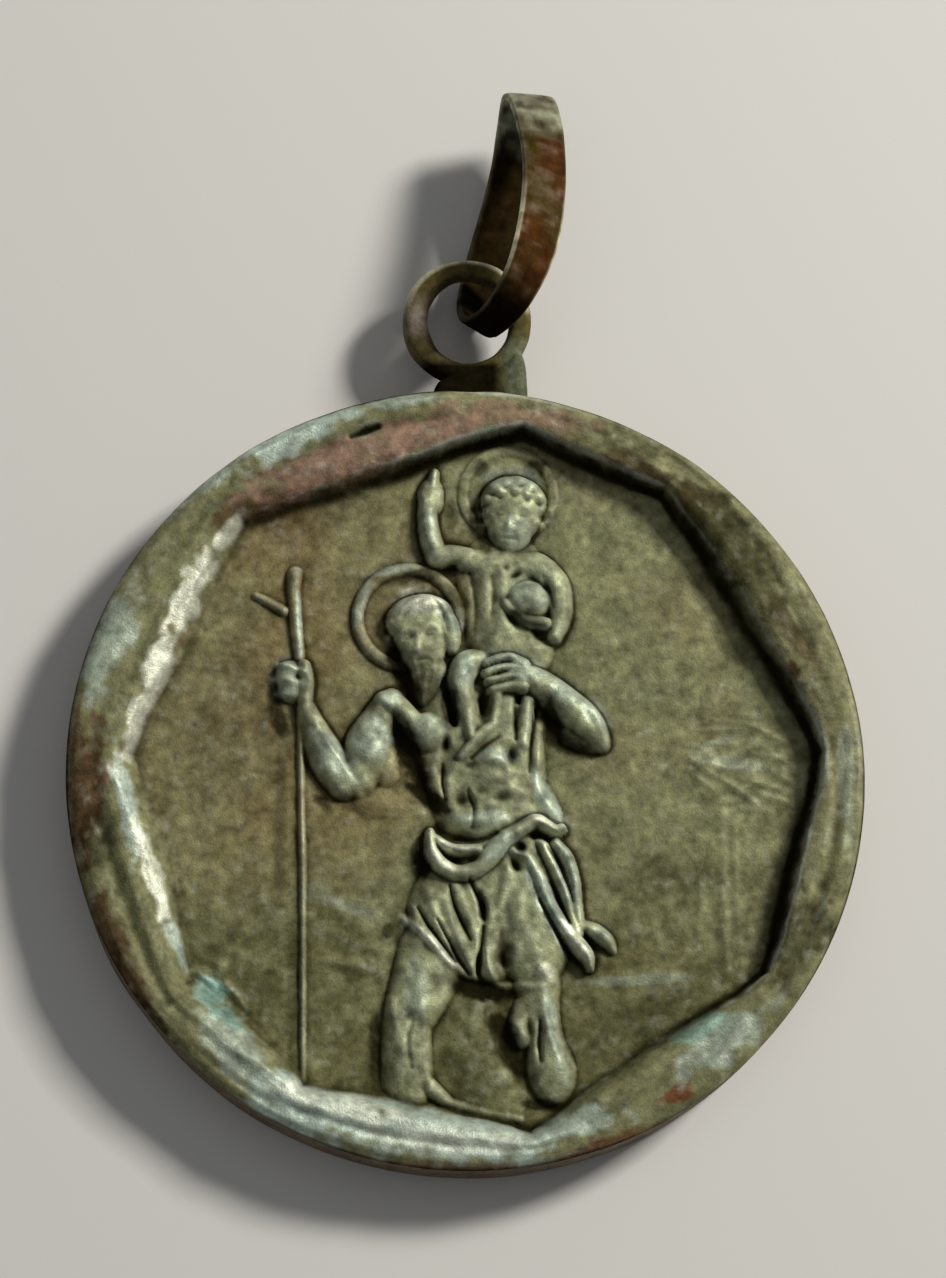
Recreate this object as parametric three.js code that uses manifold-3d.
// Religious medal pendant: a round cast medal with a wavy raised rim and figures in relief, a fixed
// eye ring on its top edge, and a strip bail looped through the eye.
// Millimetres. The medal lies on its flat back: +Z is its front and +Y points to the eye.
// The origin is the centre of the flat back.

import * as THREE from 'three';
import { mergeVertices } from 'three/addons/utils/BufferGeometryUtils.js';
import Module from 'manifold-3d';

// Driving dimensions of the disc.
const medalDiameter = 22;
const rimHeight = 2.2; // back to the crest of the rim
const fieldHeight = 1.25; // back to the field that the figures stand on
const reliefRise = 0.95; // field to the crest of the nearest figure
const backChamfer = 0.18;
const edgeRounding = 0.35; // from the side wall over to the rim's top
const rimFoot = 0.16; // width of the fillet between the rim's inner wall and the field

// Driving dimensions of the eye ring and its foot.
const eyeHoleDiameter = 2.54;
const eyeWire = 0.56;
const eyeThickness = 0.8;
const eyeBevel = 0.14;
const eyeLift = 1.34; // back of the medal to the middle of the ring
const footHeight = 0.34; // medal's edge to the ring
const footWidth = 2.7;
const footThickness = 1.1;
const footShift = 0.4; // the foot sits a little to the right of the ring
const footSink = 0.5; // how far the foot reaches into the rim, and into the ring's wire

// Driving dimensions of the bail.
const bailLength = 7.28;
const stripThickness = 0.3;
const bailTopWidth = 1.6;
const bailMidWidth = 1.35;
const bailEyeWidth = 0.95;
const bailRoom = 1.98; // free depth inside the loop beyond the eye's thickness
const bailPlay = 1.35; // the loop's eye end hangs this far below the wire that it is on
const bailSkew = 0.57; // how much deeper the loop is towards the eye than at its far end
const bailRoll = THREE.MathUtils.degToRad(20.8); // about its own length, back leaf to the left
const bailLean = THREE.MathUtils.degToRad(10.7); // to the right of +Y
const bailTip = THREE.MathUtils.degToRad(1.5); // far end away from the surface
const bailBend = THREE.MathUtils.degToRad(29.2); // sideways, from one end of the loop to the other
const bailBluntness = 0.82; // 1 gives the loop round ends, less gives it flatter ones
const bailShift = 0.914; // the loop lies this far to the right of the hole's middle
const bailEdgeBreak = 0.06;
const floorGap = 0.02; // bail's lowest edge above the plane of the medal's back

// Sizes that follow from them.
const medalRadius = medalDiameter / 2;
const eyeHoleRadius = eyeHoleDiameter / 2;
const eyeRadius = eyeHoleRadius + eyeWire;
const eyeCentre = new THREE.Vector3(0, medalRadius + footHeight + eyeRadius, eyeLift);
const embed = fieldHeight * 0.25; // relief forms start this far below the field

// The rim's inner edge: cusps that point outwards, joined by bulges that swell inwards.
// cusp: its angle from +X in degrees. land: the rim's width at the cusp.
// bulge: the swell between this cusp and the next. Both are shares of the medal's radius.
const rimLobes = [
  { cusp: 4, land: 0.113, bulge: 0.078 },
  { cusp: 56, land: 0.115, bulge: 0.026 },
  { cusp: 81, land: 0.092, bulge: 0.088 },
  { cusp: 131, land: 0.152, bulge: 0.062 },
  { cusp: 177, land: 0.171, bulge: 0.073 },
  { cusp: 218, land: 0.14, bulge: 0.035 },
  { cusp: 243, land: 0.124, bulge: 0.054 },
  { cusp: 280, land: 0.096, bulge: 0.082 },
  { cusp: 326, land: 0.11, bulge: 0.046 },
];

// The rim's section from the side wall in to the field.
// land: share of the rim's width, from the medal's edge. rise: share of the step, field to crest.
const rimSection = [
  { land: 0.3, rise: 0.96 },
  { land: 0.52, rise: 1 },
  { land: 0.76, rise: 0.9 },
  { land: 0.92, rise: 0.55 },
  { land: 1, rise: 0.16 },
];

// Relief forms. Each is a rounded bar from one point to another, with a radius at each end.
// Places and radii are shares of the medal's radius. base and crest are shares of reliefRise:
// the wall goes up to base, and a dome goes from there to the crest.
const figureForms = [
  // the large bearded figure: head, hair, beard, trunk
  { from: [-0.112, 0.4], to: [-0.09, 0.36], r: [0.088, 0.078], base: 0.35, crest: 0.86 },
  { from: [-0.075, 0.3], to: [-0.07, 0.2], r: [0.062, 0.03], base: 0.4, crest: 0.9 },
  { from: [-0.03, 0.14], to: [0.075, -0.05], r: [0.15, 0.13], base: 0.2, crest: 0.84 },
  { from: [0.1, 0.13], to: [0.1, -0.04], r: [0.12, 0.115], base: 0.2, crest: 0.8 },
  { from: [-0.1, 0.12], to: [-0.05, 0.1], r: [0.052, 0.05], base: 0.5, crest: 0.93 },
  { from: [0.06, -0.1], to: [0.11, -0.13], r: [0.09, 0.1], base: 0.3, crest: 0.8 },
  // its arm and hand on the staff
  { from: [-0.19, 0.17], to: [-0.28, 0.01], r: [0.075, 0.052], base: 0.25, crest: 0.78 },
  { from: [-0.285, 0.0], to: [-0.4, 0.185], r: [0.05, 0.033], base: 0.2, crest: 0.66 },
  { from: [-0.428, 0.3], to: [-0.42, 0.22], r: [0.04, 0.045], base: 0.2, crest: 0.68 },
  // its other arm, bent back to hold the child
  { from: [0.2, 0.17], to: [0.33, 0.1], r: [0.05, 0.048], base: 0.2, crest: 0.6 },
  { from: [0.335, 0.125], to: [0.17, 0.265], r: [0.05, 0.042], base: 0.35, crest: 0.85 },
  { from: [0.165, 0.285], to: [0.09, 0.29], r: [0.05, 0.045], base: 0.5, crest: 0.98 },
  // rolled belt, with its knot and hanging ends
  { from: [-0.08, -0.14], to: [-0.01, -0.215], r: [0.024, 0.026], base: 0.6, crest: 0.9 },
  { from: [-0.01, -0.215], to: [0.085, -0.155], r: [0.026, 0.026], base: 0.6, crest: 0.92 },
  { from: [0.085, -0.155], to: [0.235, -0.11], r: [0.026, 0.024], base: 0.6, crest: 0.9 },
  { from: [0.155, -0.115], to: [0.18, -0.12], r: [0.036, 0.034], base: 0.6, crest: 0.96 },
  { from: [0.165, -0.17], to: [0.245, -0.35], r: [0.026, 0.03], base: 0.5, crest: 0.88 },
  { from: [0.235, -0.15], to: [0.31, -0.46], r: [0.03, 0.032], base: 0.3, crest: 0.72 },
  { from: [0.3, -0.36], to: [0.375, -0.41], r: [0.034, 0.018], base: 0.12, crest: 0.4 },
  // legs
  { from: [-0.06, -0.4], to: [-0.11, -0.545], r: [0.08, 0.062], base: 0.2, crest: 0.74 },
  { from: [-0.115, -0.56], to: [-0.14, -0.66], r: [0.06, 0.056], base: 0.2, crest: 0.7 },
  { from: [-0.14, -0.67], to: [-0.125, -0.77], r: [0.055, 0.036], base: 0.2, crest: 0.62 },
  { from: [-0.12, -0.785], to: [-0.06, -0.82], r: [0.036, 0.024], base: 0.12, crest: 0.42 },
  { from: [0.15, -0.44], to: [0.16, -0.56], r: [0.07, 0.066], base: 0.2, crest: 0.76 },
  { from: [0.175, -0.6], to: [0.215, -0.69], r: [0.058, 0.05], base: 0.2, crest: 0.68 },
  { from: [0.22, -0.7], to: [0.24, -0.79], r: [0.048, 0.034], base: 0.2, crest: 0.58 },
  { from: [0.235, -0.8], to: [0.29, -0.83], r: [0.034, 0.022], base: 0.12, crest: 0.4 },
  // the child on the shoulder: head, trunk, blessing arm, arm on the globe, leg, hanging robe
  { from: [0.118, 0.7], to: [0.11, 0.67], r: [0.084, 0.072], base: 0.35, crest: 0.86 },
  { from: [0.095, 0.58], to: [0.1, 0.55], r: [0.12, 0.12], base: 0.25, crest: 0.74 },
  { from: [0.09, 0.5], to: [0.07, 0.37], r: [0.115, 0.12], base: 0.25, crest: 0.82 },
  { from: [0.01, 0.595], to: [-0.06, 0.565], r: [0.038, 0.035], base: 0.3, crest: 0.7 },
  { from: [-0.062, 0.57], to: [-0.083, 0.68], r: [0.034, 0.026], base: 0.3, crest: 0.7 },
  { from: [-0.083, 0.725], to: [-0.085, 0.755], r: [0.036, 0.03], base: 0.25, crest: 0.62 },
  { from: [-0.088, 0.77], to: [-0.088, 0.8], r: [0.02, 0.016], base: 0.25, crest: 0.55 },
  { from: [0.19, 0.56], to: [0.265, 0.46], r: [0.032, 0.03], base: 0.3, crest: 0.72 },
  { from: [0.265, 0.455], to: [0.225, 0.36], r: [0.03, 0.034], base: 0.3, crest: 0.74 },
  { from: [0.163, 0.472], to: [0.165, 0.47], r: [0.061, 0.061], base: 0.45, crest: 0.96 },
  { from: [0.0, 0.34], to: [-0.01, 0.21], r: [0.05, 0.032], base: 0.45, crest: 0.94 },
  { from: [0.035, 0.26], to: [0.03, 0.09], r: [0.05, 0.034], base: 0.5, crest: 0.94 },
  // staff with its top, its cut shoot and its foot
  { from: [-0.428, 0.53], to: [-0.42, 0.14], r: [0.019, 0.018], base: 0.12, crest: 0.42 },
  { from: [-0.42, 0.14], to: [-0.405, -0.76], r: [0.014, 0.012], base: 0.1, crest: 0.34 },
  { from: [-0.428, 0.545], to: [-0.425, 0.535], r: [0.026, 0.026], base: 0.12, crest: 0.46 },
  { from: [-0.43, 0.43], to: [-0.522, 0.482], r: [0.016, 0.011], base: 0.1, crest: 0.34 },
  // ground, bank, mound and tree in low relief
  { from: [-0.02, -0.66], to: [0.06, -0.78], r: [0.1, 0.1], base: 0.06, crest: 0.3 },
  { from: [-0.34, -0.43], to: [-0.24, -0.37], r: [0.045, 0.075], base: 0.06, crest: 0.26 },
  { from: [-0.72, -0.22], to: [-0.42, -0.3], r: [0.012, 0.02], base: 0.03, crest: 0.1 },
  { from: [0.36, -0.52], to: [0.7, -0.49], r: [0.014, 0.018], base: 0.04, crest: 0.14 },
  { from: [0.65, -0.05], to: [0.645, -0.47], r: [0.016, 0.02], base: 0.08, crest: 0.26 },
  { from: [0.61, 0.06], to: [0.65, 0.13], r: [0.06, 0.065], base: 0.06, crest: 0.24 },
  { from: [0.67, 0.03], to: [0.76, 0.09], r: [0.065, 0.07], base: 0.06, crest: 0.28 },
  { from: [0.61, -0.015], to: [0.75, -0.025], r: [0.05, 0.055], base: 0.06, crest: 0.2 },
];

// Haloes: a dished disc with a raised border. Places, radius and border are shares of the medal's
// radius, heights are shares of reliefRise.
const haloes = [
  { centre: [-0.135, 0.415], radius: 0.146, border: 0.032, dish: 0.2, edge: 0.38 },
  { centre: [0.116, 0.728], radius: 0.136, border: 0.026, dish: 0.24, edge: 0.4 },
];

// Outline of the cloth round the hips, from the belt's left end clockwise, as shares of the
// medal's radius, and its heights as shares of reliefRise.
const kiltOutline = [
  [-0.085, -0.14],
  [0.08, -0.16],
  [0.23, -0.11],
  [0.29, -0.27],
  [0.325, -0.45],
  [0.26, -0.5],
  [0.13, -0.53],
  [0.03, -0.52],
  [-0.02, -0.46],
  [-0.15, -0.35],
];
const kiltWall = 0.35;
const kiltTop = 0.66;

const wasm = await Module();
wasm.setup();

function toSolid(geometry) {
  const bare = geometry.clone();
  bare.deleteAttribute('normal');
  bare.deleteAttribute('uv');
  const merged = mergeVertices(bare, 1e-5);
  const mesh = new wasm.Mesh({
    numProp: 3,
    vertProperties: new Float32Array(merged.attributes.position.array),
    triVerts: new Uint32Array(merged.index.array),
  });
  return new wasm.Manifold(mesh);
}

function toGeometry(solid) {
  const mesh = solid.getMesh();
  const geometry = new THREE.BufferGeometry();
  geometry.setAttribute('position', new THREE.BufferAttribute(mesh.vertProperties, 3));
  geometry.setIndex(new THREE.BufferAttribute(mesh.triVerts, 1));
  geometry.computeVertexNormals();
  return geometry;
}

// A closed skin over rings of equally many points. The rings either close on each other, as round
// a loop, or the first and last are capped by a fan about their middles.
function skinRings(rings, closed) {
  const count = rings[0].length;
  const positions = rings.flat().flatMap((p) => [p.x, p.y, p.z]);
  const faces = [];
  const spans = closed ? rings.length : rings.length - 1;
  for (let i = 0; i < spans; i++) {
    const low = i * count;
    const high = ((i + 1) % rings.length) * count;
    for (let j = 0; j < count; j++) {
      const next = (j + 1) % count;
      faces.push(low + j, low + next, high + next, low + j, high + next, high + j);
    }
  }
  if (!closed) {
    const last = (rings.length - 1) * count;
    for (const [ring, start, flip] of [[rings[0], 0, true], [rings[rings.length - 1], last, false]]) {
      const middle = ring.reduce((sum, p) => sum.add(p), new THREE.Vector3()).divideScalar(count);
      const centre = positions.length / 3;
      positions.push(middle.x, middle.y, middle.z);
      for (let j = 0; j < count; j++) {
        const next = (j + 1) % count;
        faces.push(centre, start + (flip ? next : j), start + (flip ? j : next));
      }
    }
  }
  const geometry = new THREE.BufferGeometry();
  geometry.setAttribute('position', new THREE.BufferAttribute(new Float32Array(positions), 3));
  geometry.setIndex(faces);
  return geometry;
}

// The rim's width at an angle in degrees.
function landWidth(angle) {
  const turns = ((angle % 360) + 360) % 360;
  for (let i = 0; i < rimLobes.length; i++) {
    const start = rimLobes[i];
    const end = rimLobes[(i + 1) % rimLobes.length];
    const span = (end.cusp - start.cusp + 360) % 360;
    const along = (turns - start.cusp + 360) % 360;
    if (along < span) {
      const t = along / span;
      const land = THREE.MathUtils.lerp(start.land, end.land, t);
      return (land + start.bulge * Math.sin(Math.PI * t)) * medalRadius;
    }
  }
  return rimLobes[0].land * medalRadius;
}

// The disc: flat back, chamfer, side wall, rounded rim with a wavy inner wall, and flat field.
function makeDisc() {
  const step = rimHeight - fieldHeight;
  const shoulder = fieldHeight + rimSection[0].rise * step;
  const levels = [
    () => [medalRadius - backChamfer, 0],
    () => [medalRadius, backChamfer],
    () => [medalRadius, shoulder - edgeRounding],
    ...rimSection.map((row) => (width) => [
      medalRadius - width * row.land,
      fieldHeight + step * row.rise,
    ]),
    (width) => [medalRadius - width - rimFoot, fieldHeight],
  ];
  const sides = 120;
  const rings = levels.map((level) => {
    const ring = [];
    for (let j = 0; j < sides; j++) {
      const angle = (j / sides) * 360;
      const [radius, height] = level(landWidth(angle));
      const turn = THREE.MathUtils.degToRad(angle);
      ring.push(new THREE.Vector3(radius * Math.cos(turn), radius * Math.sin(turn), height));
    }
    return ring;
  });
  return toSolid(skinRings(rings, false));
}

// A rounded bar of relief: an upright wall and a dome over it, with no undercut, as a cast form has.
function makeForm({ from, to, r, base, crest }) {
  const start = new THREE.Vector2(...from).multiplyScalar(medalRadius);
  const end = new THREE.Vector2(...to).multiplyScalar(medalRadius);
  const heading = Math.atan2(end.y - start.y, end.x - start.x);
  const [startRadius, endRadius] = r.map((share) => share * medalRadius);
  const perEnd = Math.max(startRadius, endRadius) > 0.06 * medalRadius ? 8 : 5;
  const wallTop = fieldHeight + base * reliefRise;
  const domeRise = (crest - base) * reliefRise;
  const domeAngles = [0, 32, 58, 78].map(THREE.MathUtils.degToRad);
  const levels = [{ shrink: 1, z: fieldHeight - embed }];
  for (const angle of domeAngles) {
    levels.push({ shrink: Math.cos(angle), z: wallTop + domeRise * Math.sin(angle) });
  }
  const rings = levels.map(({ shrink, z }) => {
    const ring = [];
    for (const [centre, radius, turn] of [[end, endRadius, 0], [start, startRadius, Math.PI]]) {
      for (let j = 0; j < perEnd; j++) {
        const angle = heading + turn + (j / (perEnd - 1) - 0.5) * Math.PI;
        const reach = radius * shrink;
        ring.push(new THREE.Vector3(
          centre.x + reach * Math.cos(angle),
          centre.y + reach * Math.sin(angle),
          z,
        ));
      }
    }
    return ring;
  });
  return toSolid(skinRings(rings, false));
}

function makeHalo({ centre, radius, border, dish, edge }) {
  const outer = radius * medalRadius;
  const width = border * medalRadius;
  const bottom = fieldHeight - embed;
  const dishTop = fieldHeight + dish * reliefRise;
  const edgeTop = fieldHeight + edge * reliefRise;
  const profile = [
    new THREE.Vector2(0, bottom),
    new THREE.Vector2(outer, bottom),
    new THREE.Vector2(outer, fieldHeight + dish * reliefRise * 0.8),
    new THREE.Vector2(outer - width * 0.35, edgeTop),
    new THREE.Vector2(outer - width * 0.7, edgeTop),
    new THREE.Vector2(outer - width, dishTop),
    new THREE.Vector2(0, dishTop),
  ];
  const geometry = new THREE.LatheGeometry(profile, 28);
  geometry.rotateX(Math.PI / 2);
  geometry.translate(centre[0] * medalRadius, centre[1] * medalRadius, 0);
  return toSolid(geometry);
}

// The cloth round the hips: its outline with an upright wall and a bevelled top.
function makeKilt() {
  const points = kiltOutline.map(([x, y]) => new THREE.Vector2(x * medalRadius, y * medalRadius));
  const outline = new THREE.Shape();
  outline.setFromPoints(new THREE.SplineCurve([...points, points[0]]).getPoints(36).slice(0, -1));
  const bevel = (kiltTop - kiltWall) * reliefRise;
  const wall = embed + kiltWall * reliefRise;
  const geometry = new THREE.ExtrudeGeometry(outline, {
    depth: wall,
    bevelEnabled: true,
    bevelThickness: bevel,
    bevelSize: bevel * 0.9,
    bevelOffset: -bevel * 0.9,
    bevelSegments: 3,
    curveSegments: 1,
  });
  geometry.translate(0, 0, fieldHeight - embed);
  return toSolid(geometry);
}

// The eye ring lies in the medal's plane, so its hole runs along Z.
function makeEye() {
  const half = eyeThickness / 2;
  const inner = eyeHoleRadius;
  const outer = eyeRadius;
  const bevel = Math.min(eyeBevel, eyeWire / 3, eyeThickness / 3);
  const profile = [
    new THREE.Vector2(inner, -half + bevel),
    new THREE.Vector2(inner + bevel, -half),
    new THREE.Vector2(outer - bevel, -half),
    new THREE.Vector2(outer, -half + bevel),
    new THREE.Vector2(outer, half - bevel),
    new THREE.Vector2(outer - bevel, half),
    new THREE.Vector2(inner + bevel, half),
    new THREE.Vector2(inner, half - bevel),
    new THREE.Vector2(inner, -half + bevel),
  ];
  const geometry = new THREE.LatheGeometry(profile, 40);
  geometry.rotateX(Math.PI / 2);
  geometry.translate(eyeCentre.x, eyeCentre.y, eyeCentre.z);
  return toSolid(geometry);
}

// The foot joins the ring to the rim: wide on the rim, narrower at the ring, and clear of its hole.
function makeFoot() {
  const bottom = medalRadius - footSink;
  const top = medalRadius + footHeight + eyeWire;
  const half = footWidth / 2;
  const outline = new THREE.Shape();
  outline.moveTo(footShift - half, bottom);
  outline.lineTo(footShift + half, bottom);
  outline.lineTo(footShift + half * 0.94, medalRadius + footHeight * 0.4);
  outline.lineTo(footShift + half * 0.62, top);
  outline.lineTo(footShift - half * 0.7, top);
  outline.lineTo(footShift - half * 0.82, medalRadius + footHeight * 0.4);
  outline.closePath();
  const geometry = new THREE.ExtrudeGeometry(outline, { depth: footThickness, bevelEnabled: false });
  geometry.translate(0, 0, eyeCentre.z - footThickness / 2);
  const holeProfile = [
    new THREE.Vector2(0, -rimHeight),
    new THREE.Vector2(eyeHoleRadius + eyeBevel, -rimHeight),
    new THREE.Vector2(eyeHoleRadius + eyeBevel, rimHeight),
    new THREE.Vector2(0, rimHeight),
  ];
  const hole = new THREE.LatheGeometry(holeProfile, 40);
  hole.rotateX(Math.PI / 2);
  hole.translate(eyeCentre.x, eyeCentre.y, eyeCentre.z);
  return toSolid(geometry).subtract(toSolid(hole));
}

function makeMedal() {
  let solid = makeDisc();
  for (const halo of haloes) {
    solid = solid.add(makeHalo(halo));
  }
  solid = solid.add(makeKilt());
  for (const form of figureForms) {
    solid = solid.add(makeForm(form));
  }
  return solid.add(makeEye()).add(makeFoot());
}

// The bail's middle line, in its own plane: x along its length, y through its depth.
// The angle runs from the eye end, over the front leaf, to the far end and back.
function bailLine(angle) {
  const depth = eyeThickness + bailRoom + stripThickness;
  const along = -Math.sign(Math.cos(angle)) * Math.abs(Math.cos(angle)) ** bailBluntness;
  return new THREE.Vector2(
    (along * (bailLength - stripThickness)) / 2,
    (Math.sin(angle) * depth * (1 - bailSkew * along)) / 2,
  );
}

function bailWidth(along) {
  const share = (2 * along) / bailLength;
  const end = share < 0 ? bailEyeWidth : bailTopWidth;
  return THREE.MathUtils.lerp(bailMidWidth, end, share * share);
}

// Bends a shape that lies along Y into an arc in its own plane, with both ends towards -X.
function bendSideways(geometry) {
  const curvature = bailBend / bailLength;
  const place = geometry.attributes.position;
  for (let i = 0; i < place.count; i++) {
    const turn = place.getY(i) * curvature;
    const reach = 1 / curvature + place.getX(i);
    place.setXY(i, reach * Math.cos(turn) - 1 / curvature, reach * Math.sin(turn));
  }
}

function makeBail() {
  const steps = 44;
  const rings = [];
  for (let i = 0; i < steps; i++) {
    const angle = (i / steps) * 2 * Math.PI;
    const at = bailLine(angle);
    const tangent = bailLine(angle + 1e-3).sub(bailLine(angle - 1e-3)).normalize();
    const outward = new THREE.Vector2(-tangent.y, tangent.x);
    const halfWidth = bailWidth(at.x) / 2;
    const halfStrip = stripThickness / 2;
    const corner = bailEdgeBreak;
    // section of the strip with broken edges: [across its width, through its thickness]
    const section = [
      [halfWidth - corner, -halfStrip],
      [-halfWidth + corner, -halfStrip],
      [-halfWidth, -halfStrip + corner],
      [-halfWidth, halfStrip - corner],
      [-halfWidth + corner, halfStrip],
      [halfWidth - corner, halfStrip],
      [halfWidth, halfStrip - corner],
      [halfWidth, -halfStrip + corner],
    ];
    rings.push(section.map(([wide, thick]) => new THREE.Vector3(
      wide,
      at.x + outward.x * thick,
      at.y + outward.y * thick,
    )));
  }
  const geometry = skinRings(rings, true);
  // roll about its length, tip, bend sideways, then lean to the right
  geometry.rotateY(bailRoll);
  geometry.rotateX(bailTip);
  bendSideways(geometry);
  geometry.rotateZ(-bailLean);
  geometry.computeBoundingBox();
  const reach = eyeHoleRadius - bailPlay - stripThickness + bailLength / 2;
  geometry.translate(
    eyeCentre.x + reach * Math.sin(bailLean) + bailShift * Math.cos(bailLean),
    eyeCentre.y + reach * Math.cos(bailLean) - bailShift * Math.sin(bailLean),
    floorGap - geometry.boundingBox.min.z,
  );
  geometry.computeVertexNormals();
  return geometry;
}

const agedSilver = new THREE.MeshStandardMaterial({ color: 0x9a9784, roughness: 0.42, metalness: 0.9 });
agedSilver.name = 'aged_silver';
const brownedSilver = new THREE.MeshStandardMaterial({ color: 0x5c4a3c, roughness: 0.45, metalness: 0.85 });
brownedSilver.name = 'browned_silver';

const medal = new THREE.Mesh(toGeometry(makeMedal()), agedSilver);
medal.name = 'medal';

const bail = new THREE.Mesh(makeBail(), brownedSilver);
bail.name = 'bail';

const pendant = new THREE.Group();
pendant.add(medal, bail);

export default pendant;
